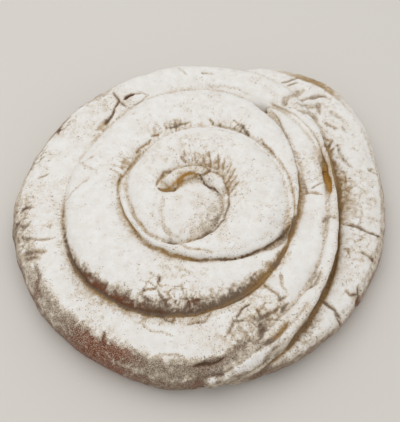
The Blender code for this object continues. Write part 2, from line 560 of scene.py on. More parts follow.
EDGES: tuple[Edge, ...] = (
    Edge(
        "crown_rim",
        angles=(-14, 0, 11, 23, 36, 48, 60, 80),
        radii=(73.5, 75.7, 76.2, 78, 79.2, 79.5, 80.5, 80.5),
        inside=0.6, outside=3,
        bare=(0.35, 0.3, 0.3, 0.25, 0.25, 0.25, 0.2, 0.15),
        bake=(0.3, 0.2, 0.2, 0.2, 0.2, 0.2, 0.2, 0.2),
        depth=0.9, width=1.1, lip=1.1,
    ),
    Edge(
        "inner_turn_over_middle_turn",
        angles=(150, 165, 180, 195, 210, 225, 240, 255, 270, 285, 300, 315, 330, 345, 352),
        radii=(61, 57, 51.5, 47.5, 45, 43.5, 41.5, 41.5, 43, 45, 49.5, 56, 63.5, 71, 75),
        inside=(0.6, 0.7, 0.7, 0.7, 0.7, 0.7, 0.7, 0.7, 0.7, 0.8, 0.8, 0.8, 0.8, 0.8, 0.8),
        outside=(0.8, 0.9, 1, 1.2, 1.2, 1.4, 1.6, 1.6, 1.5, 1.3, 1.4, 1.5, 1.4, 1.3, 1),
        bare=(0.3, 0.45, 0.6, 0.65, 0.65, 0.7, 0.75, 0.75, 0.75, 0.75, 0.85, 0.85, 0.8, 0.7, 0.5),
        bake=(0.1, 0.1, 0.1, 0.1, 0.05, 0, 0, 0, 0.1, 0.4, 0.7, 0.7, 0.4, 0.3, 0.1),
        depth=1.2, width=1.2, lip=0.5, painted_shade=0.5,
    ),
    Edge(
        "middle_turn_over_outer_turn",
        angles=(
            172, 180, 190, 205, 220, 235, 250, 265, 280, 295, 310, 325, 340, 352, 365, 385, 397, 410, 420,
        ),
        radii=(
            97, 95.5, 95, 94.5, 92.5, 89, 85.5, 82.5, 79.5, 78.5, 77, 75.5, 75, 77.5, 81.5, 88.5, 96, 109,
            121,
        ),
        inside=(0.5, 0.8, 1.5, 6, 10.5, 12.5, 12, 11, 12, 13, 12, 7, 3, 2, 0.8, 0.6, 0.6, 0.6, 0.5),
        outside=(1, 1.2, 1.5, 1.6, 1.8, 2, 2.4, 2.4, 2, 2, 2, 2, 2, 1.6, 2.4, 2.4, 2.6, 2.2, 1),
        bare=(
            0.2, 0.45, 0.6, 0.85, 1.06, 1.1, 1, 0.92, 1, 1.15, 1.1, 0.95, 0.8, 0.5, 0.4, 0.36, 0.34, 0.28,
            0.2,
        ),
        bake=(
            0.2, 0.3, 0.45, 0.6, 0.8, 0.84, 0.6, 0.5, 0.6, 0.75, 0.5, 0.3, 0.1, 0.1, 0.15, 0.25, 0.3, 0.3,
            0.2,
        ),
        depth=0.7, width=1.2, painted_shade=0.48,
    ),
    Edge(
        "golden_foot_of_middle_turn",
        angles=(200, 220, 235, 250, 270, 290, 320),
        radii=(94.8, 92.5, 89, 85.5, 81.5, 78.8, 76),
        inside=(1, 1, 1, 1, 2, 6, 7),
        outside=(2.4, 2.8, 2.8, 2.6, 2.2, 2, 2),
        bare=(0.05, 0.05, 0.05, 0.05, 0, 0, 0.05),
        bake=(-0.35, -0.5, -0.5, -0.4, -0.4, -0.5, -0.4),
    ),
    # painted shadow: a soft beige shade on the outer turn below the step of the middle turn, laid in as
    # thinner sugar
    Edge(
        "thin_sugar_below_middle_turn",
        angles=(175, 200, 225, 250, 270, 300, 330, 350),
        radii=(96, 96, 92, 86, 82, 78, 75, 77),
        inside=1,
        outside=(5, 11, 14, 12, 10, 9, 8, 5),
        bare=(0.1, 0.3, 0.38, 0.34, 0.3, 0.3, 0.25, 0.1),
        bake=(0, 0.05, 0.05, 0.05, 0.05, 0.05, 0, 0),
    ),
    Edge(
        "outer_turn_over_free_end",
        angles=(-80, -70, -60, -52, -44, -35, -20, -8, 0, 15, 28, 36),
        radii=(131.5, 129.5, 125, 120.5, 117, 114, 111, 109.5, 109.5, 112, 119, 126),
        inside=(0.5, 0.5, 0.5, 1, 1, 0.8, 0.8, 0.8, 1, 1, 1, 1),
        outside=(1.5, 2, 2.4, 3, 3.2, 3.8, 3.5, 3.5, 6, 8, 5, 2),
        bare=(0.3, 0.4, 0.26, 0.3, 0.4, 0.44, 0.45, 0.48, 0.7, 0.8, 0.7, 0.3),
        bake=(0.3, 0.2, -0.18, -0.2, -0.15, -0.15, -0.1, -0.1, 0, 0, 0, 0.3),
        depth=1.3, width=1, lip=0.5, painted_shade=0.4,
    ),
    Edge(
        "shadow_line_over_free_end",
        angles=(-78, -60, -44, -35, -20, 0, 12),
        radii=(131.2, 125, 117, 114, 111, 109.5, 111.2),
        inside=0.7, outside=0.7,
        bare=(0.5, 0.7, 0.95, 0.85, 0.7, 0.65, 0.4),
        bake=0.1, depth=0.3, width=0.8, painted_shade=0.6,
    ),
    Edge(
        "first_fold_of_outer_turn",
        angles=(10, 15, 25, 31, 38, 48, 60),
        radii=(104.5, 105, 111.5, 115.5, 120, 124, 124.5),
        inside=(0.8, 0.8, 0.6, 0.6, 0.6, 0.5, 0.5),
        outside=(3, 3, 1.4, 1, 1, 1, 0.8),
        bare=(0.9, 0.9, 0.55, 0.3, 0.22, 0.18, 0.1),
        bake=(0, 0, 0.2, 0.2, 0.2, 0.2, 0.2),
        depth=1, width=1.1,
    ),
    Edge(
        "browned_front_side",
        angles=(194, 203, 213, 223, 230, 236, 245, 251, 257, 265, 274, 281, 287, 292, 300),
        radii=(133, 124, 123.5, 122, 121, 121.5, 120, 119.5, 121, 120.5, 120.5, 118, 111, 112, 118),
        inside=(2, 7, 9, 10, 10, 10, 10, 10, 10, 10, 9, 7, 6, 5, 2),
        outside=(40, 16, 16, 16, 18, 20, 20, 18, 18, 18, 18, 18, 18, 16, 10),
        bare=(0.15, 0.4, 0.65, 0.8, 0.95, 1.1, 1.15, 1, 0.95, 0.9, 0.9, 0.8, 0.65, 0.5, 0.1),
        bake=(0.3, 0.35, 0.4, 0.45, 0.7, 0.95, 1, 0.65, 0.4, 0.35, 0.35, 0.35, 0.35, 0.3, 0.3),
    ),
    Edge(
        "folded_strip",
        angles=(268, 274, 281, 291, 304, 316),
        radii=(130, 128.5, 125.6, 119, 115.5, 111),
        inside=(0.6, 0.6, 0.8, 0.8, 0.8, 0.8),
        outside=(20, 20, 20, 14, 7, 3),
        bare=(-0.25, -0.32, -0.32, -0.3, -0.25, -0.15),
        bake=0, depth=1.2, width=1.1,
    ),
    Edge(
        "free_end_rim",
        angles=(-75, -55, -40, -25, -10, 5, 20, 35, 42, 47, 54, 60, 66, 80),
        radii=(128, 129, 131, 134, 139.5, 145.5, 153, 162, 166, 166, 166, 163, 160, 152),
        inside=(2.5, 2.5, 2.5, 2.5, 2.5, 2.5, 2.5, 2, 2, 2.5, 4, 2.5, 1.5, 1.5),
        outside=20,
        bare=(0.2, 0.2, 0.2, 0.2, 0.3, 0.35, 0.25, 0.15, 0.2, 0.65, 0.9, 0.35, 0.15, 0.1),
        bake=(0.2, 0.2, 0.3, 0.35, 0.4, 0.4, 0.4, 0.2, 0.1, -0.15, -0.1, -0.1, 0, 0),
    ),
    Edge(
        "left_rim",
        angles=(105, 120, 143, 155, 165, 180, 190, 200),
        radii=(148, 144, 135, 134, 133, 132, 130, 129),
        inside=(2, 2.5, 2, 2, 2, 2, 2, 2),
        outside=20,
        bare=(0.2, 0.4, 0.45, 0.4, 0.35, 0.4, 0.35, 0.2),
        bake=(0.3, 0.35, 0.4, 0.35, 0.15, 0.1, 0.1, 0.15),
    ),
)
CREASES: tuple[Crease, ...] = (
    # the finger and the folds round it
    Crease((149, 28.5, 144, 23.8, 136, 19, 126, 19), 1.1, 1.9, 0.85, 0.1),
    Crease((149, 27, 144, 24.5, 134, 22, 121, 21, 104, 23.5, 92, 26), 1, 0, 0.75, -0.15),
    Crease((126, 19, 117, 19.8, 101, 23.4, 87, 26, 76, 26), 1.1, 1.2, 0.6, -0.1),
    Crease((149, 30, 139, 32.4, 126, 36, 113, 33), 1.2, 1, 0.55, 0.2),
    Crease((113, 33, 98, 34.5, 82, 36, 67, 33, 61, 31), 1.2, 0.8, 0.35, 0.1),
    Crease((74, 26, 61, 32), 1.2, 1.6, 0.5, 0.2),
    Crease((80, 26.9, 51, 21.2, 20, 24.4), 0.75, 1.3, 0.6, 0.7, 0.8),
    Crease((61, 31, 45, 33.7, 30, 31.1, 16, 28.5), 1.2, 1, 0.4, 0.1),
    Crease((16, 28.5, 358, 26.5, 334, 26, 309, 25.8, 285, 27, 268, 27.9), 1, 1.4, 0.42, 0.1, 0.9),
    Crease((155, 27, 170, 26.7, 198, 28.8, 227, 27.4, 255, 27.7), 2.4, 0.8, 0.04),
    Crease((167, 49, 194, 42, 216, 38.6, 236, 34.5, 252, 33), 1, 0.8, 0.2),
    Crease((252, 33, 266, 35, 281, 38.5, 295, 44), 1, 0.8, 0.25, 0.1),
    Crease((101, 43, 96, 38), 1.3, 1.3, 0.4, 0.15, 1.1),
    Crease((97, 47, 95, 43), 1, 0.6, 0.25, 0.2),
    Crease((88, 42, 84, 37), 0.9, 0.6, 0.15, 0.1),
    Crease((80, 44, 71, 33), 0.9, 0.8, 0.24, 0.1, 0.9),
    Crease((74, 48, 64, 34), 0.9, 0.9, 0.32, 0.1, 0.9),
    Crease((66, 50, 57, 36), 0.9, 0.9, 0.32, 0.1, 0.9),
    Crease((59, 48, 51, 37), 0.9, 0.8, 0.28, 0.1, 0.9),
    Crease((51, 47, 44, 37), 0.9, 0.7, 0.24, 0.1, 0.9),
    Crease((44, 46, 36, 34), 0.9, 0.8, 0.28, 0.1, 0.9),
    Crease((36, 42, 28, 31), 0.9, 0.7, 0.25, 0.1, 0.9),
    Crease((27, 39, 20, 30), 0.9, 0.7, 0.25, 0.1, 0.9),
    # marks along the edge of the inner turn
    Crease((157, 60, 150, 59, 140, 61, 129, 65), 1, 0.8, 0.36, 0.1),
    Crease((130, 67, 125, 68, 117, 71), 1.2, 1.2, 0.5, 0.15),
    Crease((115, 74, 110, 74), 1.2, 0.9, 0.7, 0.2, 1.1),
    Crease((104, 78, 99, 78, 95, 80, 91, 81), 1.1, 0.9, 0.42, 0.15),
    Crease((81, 85, 78, 81), 1, 1.1, 0.6, 0.2),
    Crease((75, 83, 73, 82), 1, 0.9, 0.5, 0.2),
    Crease((67, 88, 63, 83), 1, 0.6, 0.4, 0.1),
    Crease((64, 86, 58, 82, 56, 80), 1.1, 1.2, 0.6, 0.2),
    Crease((50, 83, 45, 80), 1, 0.7, 0.5, 0.1),
    Crease((45, 81, 39, 80), 1.1, 0.7, 0.4, 0.1),
    # creases on the middle turn
    Crease((152, 100, 155, 90, 156, 80, 158, 76), 2.2, 0.8, 0.14, 0.4, 1.1),
    Crease((147, 89, 151, 93, 153, 96), 1.8, 0.6, 0.12, 0.4),
    Crease((162, 82, 168, 90, 173, 95), 1.5, 0.8, 0.12, 0.3, 1.1),
    Crease((241, 60, 245, 62.5, 248, 61, 250.5, 65), 0.9, 0.5, 0.3, 0.35),
    Crease((249, 62, 249.5, 65), 1.6, 0.6, 0.35, 0.35),
    Crease((245, 68, 250, 69.5, 254, 73.5, 258, 79), 1, 0.6, 0.45, 0.4),
    Crease((245, 68, 243.5, 73, 244.5, 79), 0.9, 0.5, 0.3, 0.4),
    Crease((260, 66, 264, 64.5, 266, 69, 269, 76), 0.9, 0.5, 0.35, 0.4),
    Crease((260, 66, 260.5, 71, 262.5, 77), 0.9, 0.5, 0.3, 0.4),
    Crease((268, 75, 275, 73), 0.9, 0.5, 0.35, 0.4),
    # the crack and folds at the upper left of the outer turn
    Crease((119, 136, 119, 127, 119, 124, 122, 118), 1, 1.3, 0.6, 0.5, 0.9),
    Crease((122, 118, 124, 114, 129, 110), 1.5, 1.6, 0.7, 0.4),
    Crease((128, 110.5, 134, 109), 2.6, 1.2, 0.4, -0.1, 1.3),
    Crease((119, 124, 118, 119, 117, 115), 0.9, 1, 0.4, 0.2),
    Crease((115, 114, 113, 114, 111, 116, 108, 119, 110, 124, 113, 124), 1, 0.9, 0.3, 0.2, 0.9),
    Crease((117, 123, 115, 124.5, 112.5, 124.5), 1.4, 2.2, 0.7, 0.8),
    # dents at the left
    Crease((165, 122, 163, 118, 162, 116), 1.3, 0.8, 0.3, 0.25, 1.1),
    Crease((178, 128, 178, 119), 1.6, 0.9, 0.35, 0.25, 1.3),
    Crease((189, 126, 191, 117, 192, 102), 1.3, 1.1, 0.35, 0.25),
    Crease((195, 126, 196, 118, 197, 109), 2.4, 1.6, 0.4, 0.15, 1.2),
    Crease((197, 128, 198, 120, 199, 115), 1.6, 1, 0.36, 0.15, 1.2),
    Crease((200, 120, 205, 120, 209, 126, 213, 125), 2, 1.1, 0.4, 0.25, 1.2),
    Crease((183, 131, 186, 124, 184, 119), 1.5, 0.8, 0.3, 0.25, 1.2),
    # folds at the front of the outer turn
    Crease((255, 83, 259, 88, 262, 89, 263, 85), 1.3, 0.9, 0.4, 0.3, 0.9),
    Crease((268, 90, 272, 88, 276, 88, 279, 82), 1.3, 0.9, 0.4, 0.3, 0.9),
    Crease((249, 94, 254, 98, 259, 97, 263, 100), 1.1, 0.5, 0.25, 0.3),
    Crease((238, 112, 239, 117, 241, 120), 1.1, 1.3, 0.6, 0.5, 0.9),
    Crease((271, 119, 276, 118, 281, 116), 1.5, 2.2, 0.9, 0.5, 0.9),
    Crease((260, 113, 267, 112), 1, 0.6, 0.35, 0.3),
    Crease((290, 91, 294, 87, 298, 86), 1.2, 1.1, 0.6, 0.4, 0.9),
    Crease((300, 92, 299, 100, 304, 99, 307, 99), 1.5, 1.3, 0.6, 0.1),
    Crease((310, 79, 311, 85, 311, 91, 310, 95, 314, 97), 1.2, 1.2, 0.45, 0.3),
    Crease((320, 82, 316, 89, 315, 96), 1.4, 1, 0.25, 0.2),
    Crease((312, 101, 307, 102), 1.5, 1, 0.5, 0.25),
    Crease((321, 104, 324, 106, 330, 105), 2.4, 1.3, 0.5, 0.25, 1.1),
    Crease((285, 100, 289, 93, 293, 95), 1.4, 0.8, 0.5, 0.25, 1.2),
    Crease((297, 97, 298, 105, 295, 111), 1.6, 0.9, 0.45, 0.25, 1.2),
    Crease((354, 97, 357, 101, 354, 107), 1.8, 1.1, 0.3, 0.25, 1.1),
    # folds where the outer turn passes the middle one
    Crease((19, 89, 11, 88), 1.1, 1, 0.35, 0.3),
    Crease((12, 92, 14, 102), 1.1, 1, 0.35, 0.3),
    Crease((11, 86, 10, 92, 8, 99), 1.3, 1.2, 0.4, 0.1),
    Crease((21, 87, 12, 85, 2, 81, 356, 79), 2.4, 1.1, 0.2, -0.05, 1.2),
    Crease((354, 77, 347, 75, 342, 73), 1.5, 1.5, 0.6, 0.3, 1.1),
    # the gold opening inside the flap
    Crease((24, 110.5, 20, 109, 14, 106.8, 8, 105), 1.5, 2.4, 1.3, -0.35, 1.1),
    Crease((295, 116, 299, 116, 304, 114, 306, 112), 1.7, 1.3, 0.75, -0.05, 1.2),
    Crease((299, 121, 296, 123, 293, 125), 1.2, 0.8, 0.3, 0.25),
    # cracks in the free end
    Crease((357, 114, 356, 120, 355, 126, 354, 133, 354, 142), 1.2, 1.5, 0.6, 0.2, 0.8),
    Crease((346, 114, 346, 118, 344, 120), 1, 0.7, 0.4, 0.1),
    Crease((346, 127, 345, 139), 1.8, 0.8, 0.35, 0.25, 1.2),
    Crease((331, 125, 330, 130, 332, 134), 1.2, 1.2, 0.6, 0.1, 0.9),
    Crease((334, 131, 332, 136, 329, 135), 1.2, 1, 0.5, 0.1),
    Crease((323, 115, 323, 122, 323, 127, 322, 133), 1.4, 1.5, 0.8, 0.25),
    Crease((322, 127, 321, 132, 321, 135), 1, 1, 0.4, 0.25, 0.8),
    Crease((60, 150, 58, 158, 57, 163), 1.3, 1.2, 0.4, 0.25, 1.1),
    Crease((58, 150, 56, 157), 1.2, 1, 0.35, 0.25, 1.1),
    Crease((55, 128, 55, 138, 54, 148, 53, 153), 3.8, 2.8, 0.16, 0.15),
    Crease((54, 127, 54, 131), 1.8, 1.4, 0.35, 0.2, 0.9),
    Crease((51, 141, 50, 148, 48, 154, 47, 160), 1.3, 1.6, 0.3, 0.25),
    Crease((50, 150, 48, 157, 46, 161), 1.1, 1.3, 0.22, 0.25),
    Crease((49, 139, 47, 144, 45, 152), 3, 1.5, 0.14, 0.1),
    Crease((48, 129, 45, 134, 42, 137), 3.2, 1.6, 0.16, 0.1),
    Crease((40, 139, 37, 140, 35, 143), 1.4, 1, 0.25, 0.15, 0.9),
    Crease((35, 147, 33, 146), 1.3, 0.9, 0.35, 0.1, 0.9),
    Crease((42, 150, 38, 152, 33, 150), 4, 1.4, 0.05, 0.25),
    Crease((51, 135, 48, 137), 1.5, 1, 0.2, 0.25, 1.1),
    Crease((46, 149, 43, 142), 1.6, 0.9, 0.2, 0.25, 1.1),
    Crease((29, 118, 32, 132), 1.2, 0.9, 0.5, 0.1),
    Crease((30, 133, 27, 130, 23, 129, 19, 132), 1.3, 0.8, 0.3, 0.25, 1.1),
    Crease((18, 151, 17, 144, 16, 150), 1.2, 0.8, 0.34, 0.15),
    # folds at the top
    Crease((95, 147, 93, 141, 92, 136), 1.2, 0.8, 0.14, 0.25),
    Crease((87, 139, 82, 138), 1.2, 0.6, 0.14, 0.25),
    Crease((85, 127, 78, 127, 72, 127, 67, 125), 1.5, 0.7, 0.12, 0.25),
    Crease((271, 127, 275, 126, 280, 127), 1.4, 1.3, 0.7, 0.2),
)
PATCHES: tuple[Patch, ...] = (
    # mottled grey at the left
    Patch(180, 126, 17, 8, 0.16, 0.1, Pattern.VEINS, 0.6),
    Patch(192, 124, 9, 7, 0.18, 0.1, Pattern.VEINS, 0.6),
    Patch(186, 107, 6, 4, 0.3, 0.2, Pattern.VEINS, 0.4),
    Patch(184, 128, 26, 9, 0.24, 0.1),
    Patch(197, 122, 9, 8, 0.34, 0.05),
    Patch(176, 126, 9, 6, 0.18),
    Patch(141, 133, 12, 4, 0.43, 0.4, Pattern.VEINS, 0.4),
    Patch(157, 131, 12, 4, 0.36, 0.4, Pattern.VEINS, 0.4),
    Patch(124, 139, 14, 5, 0.35, 0.3),
    # cracked crust along the front of the middle turn
    Patch(247, 72, 11, 9, 0.42, 0.15, Pattern.VEINS, 0.5),
    Patch(267, 72, 12, 8, 0.4, 0.15, Pattern.VEINS, 0.5),
    Patch(259, 54, 16, 4, 0.18, 0.3, Pattern.VEINS, 0.3),
    # grey speckle on the outer turn's front
    Patch(293, 104, 18, 11, 0.16, 0.08, Pattern.VEINS, 0.7),
    Patch(304, 98, 14, 9, 0.16, 0.02, Pattern.VEINS, 0.7),
    Patch(296, 102, 28, 13, 0.22, 0.14),
    Patch(238, 108, 22, 7, 0.15, 0.3),
    # grey marks on the stretch beside the flap
    Patch(352, 97, 8, 3, 0.12, 0.3),
    Patch(330, 101, 10, 3, 0.14, 0.3),
    # speckled crown
    Patch(105, 28, 17, 6, 0.2, -0.1),
    Patch(80, 48, 44, 18, 0.12, 0.12),
    Patch(318, 22, 22, 7, 0.3, 0.15),
    Patch(347, 11, 19, 16, 0.15, 0.35),
    # pleats round the crown
    Patch(100, 79, 18, 6, 0.52, 0.1, Pattern.PLEATS, 0.6),
    Patch(101, 79, 10, 4, 0.34, 0.15),
    Patch(144, 66, 18, 6, 0.45, 0, Pattern.PLEATS, 0.6),
    Patch(146, 64, 16, 4, 0.12),
    Patch(62, 84, 14, 6, 0.36, 0.2, Pattern.PLEATS, 0.6),
    Patch(75, 40, 22, 8, 0.2, 0, Pattern.PLEATS, 0.6),
    Patch(62, 38, 20, 8, 0.2),
    Patch(25, 33, 14, 6, 0.16),
    # wrinkled free end
    Patch(28, 142, 26, 14, 0.07, 0.1, Pattern.VEINS, 0.4),
    Patch(350, 127, 26, 12, 0.12, 0.1, Pattern.VEINS, 0.5),
    Patch(0, 134, 60, 12, 0.1, 0.15),
    Patch(310, 124, 22, 8, 0.14, 0.1, Pattern.VEINS, 0.5),
    Patch(50, 152, 22, 12, 0.07, 0.1, Pattern.VEINS, 0.5),
    Patch(48, 136, 20, 9, 0.14, 0.2),
    Patch(315, 124, 34, 7, 0.02, 0.1),
    # the rough golden stretch beside the gold opening
    Patch(15, 121, 19, 6, 0.2, 0.05, Pattern.VEINS, 0.5),
    Patch(13, 118.5, 24, 6, 0.58, -0.06),
    Patch(31, 128, 10, 6, 0.25, 0, Pattern.VEINS, 0.5),
    Patch(63, 122, 6, 4, -0.5, -0.2),
    Patch(49, 121.5, 20, 5, -0.2, 0.1),
    Patch(49, 106, 20, 5, -0.14, 0.1),
    # thin sugar at the top of the outer turn
    Patch(128, 127, 18, 10, 0.1, 0.3),
    Patch(117, 119, 8, 8, 0.24, 0.2),
    Patch(95, 128, 40, 14, -0.06, 0.2),
)


@dataclass
class SkinNotes:
    """What the skin is like while it is worked. Every array has one value for each point."""

    points: np.ndarray
    normals: np.ndarray
    x: np.ndarray  # place east of the coil's middle, as cracks read it
    y: np.ndarray  # place north of it
    angle: np.ndarray  # place round the coil, as long edges read it
    radius: np.ndarray
    ragged: np.ndarray  # noise that makes every limit uneven
    shift: np.ndarray  # how far the point moves outwards
    bare: np.ndarray  # how thin the sugar lies
    bake: np.ndarray  # how dark the crust was baked
    crack_shade: np.ndarray  # how dark the painted shade in the deepest crevices and cracks is
    split: np.ndarray  # how far the sugar has split into flakes


@dataclass
class WorkedSkin:
    """Works the loaf's skin and notes where sugar is thin and crust is dark."""

    # noises, each in layers of (strength, size, offset)
    lumps: Layers = ((1.3, 34.0, 0.0), (0.8, 13.0, 0.0), (0.35, 6.0, 0.0), (0.22, 4.0, 0.0), (0.12, 2.4, 0.0))
    wander_x: Layers = ((1.3, 9.0, 3.7), (0.25, 3.5, 8.1))  # how far cracks stray from their lines
    wander_y: Layers = ((1.3, 9.0, 21.3), (0.25, 3.5, 15.9))
    ragged: Layers = ((0.8, 4.5, 31.7), (0.8, 2.2, 5.2))
    mottle: Layers = ((1.0, 24.0, 2.2), (0.8, 8.0, 6.4))
    mottle_ragged: float = 0.5
    edge_wander: float = 0.4  # long edges run truer than cracks

    # the height map and the averages that find hollows
    map_step: float = 1.5
    map_reach: float = 170.0
    map_empty: float = 0.5  # a cell that is lower holds no dough
    map_least: float = 1e-3  # share of dough around a cell, so that nothing is divided by zero
    hollow_blur: float = 4.0
    cavity_rounds: int = 5
    cavity_share: float = 0.6  # how much barer the skin is for each millimetre that it lies hollow: partly thinner sugar, partly painted shade in small creases
    cavity_limits: Span = (-0.1, 0.2)

    # where each sort of place starts and where it is complete
    wall: Span = (0.1, 0.6)  # upward share of the normal, from an upright side to a turn's back
    foot: Span = (1.0, 7.0)  # height over the tray
    hollow: Span = (1.2, 4.5)  # depth below the blurred surface
    crown: Span = (60.0, 85.0)  # radius
    outer_turns: Span = (75.0, 110.0)
    dusted_side: float = 110.0  # degrees, where even the hollows are well dusted and get the least painted shade
    dusted_span: Span = (40.0, 75.0)

    # how bare the skin is before anything is worked into it, and how dark its crust
    bare_all: float = 0.02
    bare_crown: float = 0.06
    bare_outer_turns: float = 0.06
    bare_mottle: float = 0.13
    bare_wall: float = 0.2
    bare_foot: float = 0.12
    # in hollows the added bareness is partly thinner sugar and partly painted shade, and the darker crust
    # added there below is painted shade
    bare_hollow: float = 0.03
    bare_undusted_hollow: float = 0.07
    bare_outer_hollow: float = 0.15
    bake_all: float = 0.12
    bake_outer_turns: float = 0.08
    bake_outer_wall: float = 0.18
    hollow_shade: float = 0.1

    # long edges
    edge_fade: float = 3.0  # degrees over which an edge starts and ends
    edge_ragged: float = 0.35
    edge_shade_start: float = 0.45  # how bare and baked a crevice is before painted shade darkens it
    lip_place: float = 2.4  # inwards from the crevice, in its widths
    lip_width: float = 1.5
    halo: float = 6.0  # how far from a crevice the sugar is thinner
    halo_bare: float = 0.14

    # creases
    taper: float = 6.0  # one over the share of a crack's length along which each end narrows
    taper_least: float = 0.15
    crease_profile: tuple[Span, ...] = ((0.75, 0.8), (0.25, 2.6))  # (share, width) of its core and fringe
    # how bare and baked a crease is before painted shade darkens its core, and the most shade that it takes
    crease_shade_start: float = 0.5
    crease_shade_most: float = 0.85

    # patches and the folds that run across the rope
    fold_radius: float = 80.0  # at which folds have their true width
    fold_length: float = 5.0  # in widths
    wide_folds: Row = (0.45, 9.0, 3.1)  # (depth, size, offset)
    wide_fold_squeeze: Point = (1.0, 1.8, 1.0)
    wide_fold_span: Span = (70.0, 95.0)
    veil_ragged: float = 0.8
    veins: Row = (6.5, 41.1, 0.12, 0.35)  # (size, offset, half width of a vein, ragged share)
    pleats: Row = (4.0, 13.3, 0.13, 0.2)
    flakes: float = 1.6  # how much the sugar has split where veins bare the crust

    # what is stored
    base_height: float = 0.6  # below which the flat base keeps its shape
    loose_side: float = 245.0  # degrees, where loose sugar lies on the bare side
    loose_span: Span = (45.0, 60.0)
    loose_radius: Span = (96.0, 106.0)
    loose_least: float = 0.15
    stored_most: float = 1.3

    def raise_lumps(self, mesh: bpy.types.Mesh) -> None:
        """Moves the skin in and out by smooth noise of each size."""
        points, normals = read_points(mesh), read_normals(mesh)
        write_points(mesh, points + normals * layered_noise(points, self.lumps)[:, None])

    @staticmethod
    def cut_flat_base(loaf: bpy.types.Object) -> None:
        """Cuts the loaf level at z = 0, where it lay on the tray, and closes the cut."""
        cut = {"plane_co": (0, 0, 0), "plane_no": (0, 0, 1), "clear_inner": True, "use_fill": True}
        edit_all(loaf, lambda: bpy.ops.mesh.bisect(threshold=TINY, **cut))

    @staticmethod
    def line_distance(x: np.ndarray, y: np.ndarray, line: Row) -> tuple[np.ndarray, np.ndarray]:
        """Measures how far each point is from a line.

        Args:
            x: Distance east of the coil's middle.
            y: Distance north of it.
            line: Degrees and radius of the line's corners in turn.

        Returns:
            The distance of each point, and the share of the line's length at the nearest place.
        """
        places = zip(line[::2], line[1::2])
        corners = [(r * math.cos(math.radians(a)), r * math.sin(math.radians(a))) for a, r in places]
        lengths = [math.dist(p, q) for p, q in zip(corners, corners[1:])]
        total, run = sum(lengths), 0.0
        nearest = np.full(x.shape, np.inf)
        share = np.zeros(x.shape)
        for (px, py), (qx, qy), length in zip(corners, corners[1:], lengths):
            t = np.clip(((x - px) * (qx - px) + (y - py) * (qy - py)) / length**2, 0.0, 1.0)
            distance = np.hypot(x - px - t * (qx - px), y - py - t * (qy - py))
            closer = distance < nearest
            nearest = np.where(closer, distance, nearest)
            share = np.where(closer, (run + t * length) / total, share)
            run += length
        return nearest, share

    def hollow_depth(self, points: np.ndarray) -> np.ndarray:
        """Measures how far each point lies below the loaf's own blurred top.

        Args:
            points: The skin's points in millimetres.

        Returns:
            Depth below the blurred surface, negative on a crest.
        """
        cells = int(2 * self.map_reach / self.map_step)
        index = np.clip(((points[:, :2] + self.map_reach) / self.map_step).astype(int), 0, cells - 1)
        heights = np.zeros((cells, cells))
        np.maximum.at(heights, (index[:, 0], index[:, 1]), points[:, 2])
        frequency = np.fft.fftfreq(cells, self.map_step)
        gain = np.exp(-2 * (math.pi * self.hollow_blur * frequency) ** 2)
        filled = heights > self.map_empty
        weights = np.fft.ifft2(np.fft.fft2(filled) * gain[:, None] * gain[None, :]).real
        blurred = np.fft.ifft2(np.fft.fft2(heights * filled) * gain[:, None] * gain[None, :]).real
        blurred /= np.maximum(weights, self.map_least)
        return blurred[index[:, 0], index[:, 1]] - points[:, 2]

    def cavity(self, mesh: bpy.types.Mesh) -> np.ndarray:
        """Measures how far each point lies below the average of its neighbours.

        Args:
            mesh: The skin.

        Returns:
            Depth in millimetres, negative on a ridge.
        """
        points, normals = read_points(mesh), read_normals(mesh)
        ends = np.empty(len(mesh.edges) * 2, np.int32)
        mesh.edges.foreach_get("vertices", ends)
        here = np.concatenate([ends[0::2], ends[1::2]])
        there = np.concatenate([ends[1::2], ends[0::2]])
        counts = np.maximum(np.bincount(here, minlength=len(points)), 1)
        smooth = points
        for _ in range(self.cavity_rounds):
            sums = [np.bincount(here, weights=column[there], minlength=len(points)) for column in smooth.T]
            smooth = np.stack(sums, axis=1) / counts[:, None]
        return np.sum((smooth - points) * normals, axis=1)

    def read_skin(self, mesh: bpy.types.Mesh) -> SkinNotes:
        """Starts the notes on the skin, with how bare and baked it is before it is worked.

        Args:
            mesh: The loaf's mesh.

        Returns:
            The notes.
        """
        points, normals = read_points(mesh), read_normals(mesh)
        east, north = points[:, 0] - COIL_CENTRE[0], points[:, 1] - COIL_CENTRE[1]
        wander_x, wander_y = layered_noise(points, self.wander_x), layered_noise(points, self.wander_y)
        edge_x, edge_y = east + self.edge_wander * wander_x, north + self.edge_wander * wander_y
        angle = np.degrees(np.arctan2(edge_y, edge_x)) % 360
        radius = np.hypot(edge_x, edge_y)
        ragged = layered_noise(points, self.ragged)
        wall = 1 - smooth_step(normals[:, 2], *self.wall)
        foot = 1 - smooth_step(points[:, 2], *self.foot)
        hollow = smooth_step(self.hollow_depth(points), *self.hollow)
        crown = 1 - smooth_step(radius, *self.crown)
        outer = smooth_step(radius, *self.outer_turns)
        undusted = smooth_step(degrees_apart(angle, self.dusted_side), *self.dusted_span)
        mottle = layered_noise(points, self.mottle) + self.mottle_ragged * ragged
        bare = self.bare_all + self.bare_crown * crown + self.bare_outer_turns * outer
        bare += self.bare_mottle * mottle + self.bare_wall * wall + self.bare_foot * foot
        # hollows: partly thinner sugar, partly painted shade, and painted shade darkens their crust
        undusted *= self.bare_undusted_hollow + self.bare_outer_hollow * outer
        bare += (self.bare_hollow + undusted) * hollow
        bake = self.bake_all + self.bake_outer_turns * outer
        bake += self.bake_outer_wall * wall * outer + self.hollow_shade * hollow
        shift, crack_shade, split = (np.zeros(len(points)) for _ in range(3))
        x, y = east + wander_x, north + wander_y
        return SkinNotes(points, normals, x, y, angle, radius, ragged, shift, bare, bake, crack_shade, split)

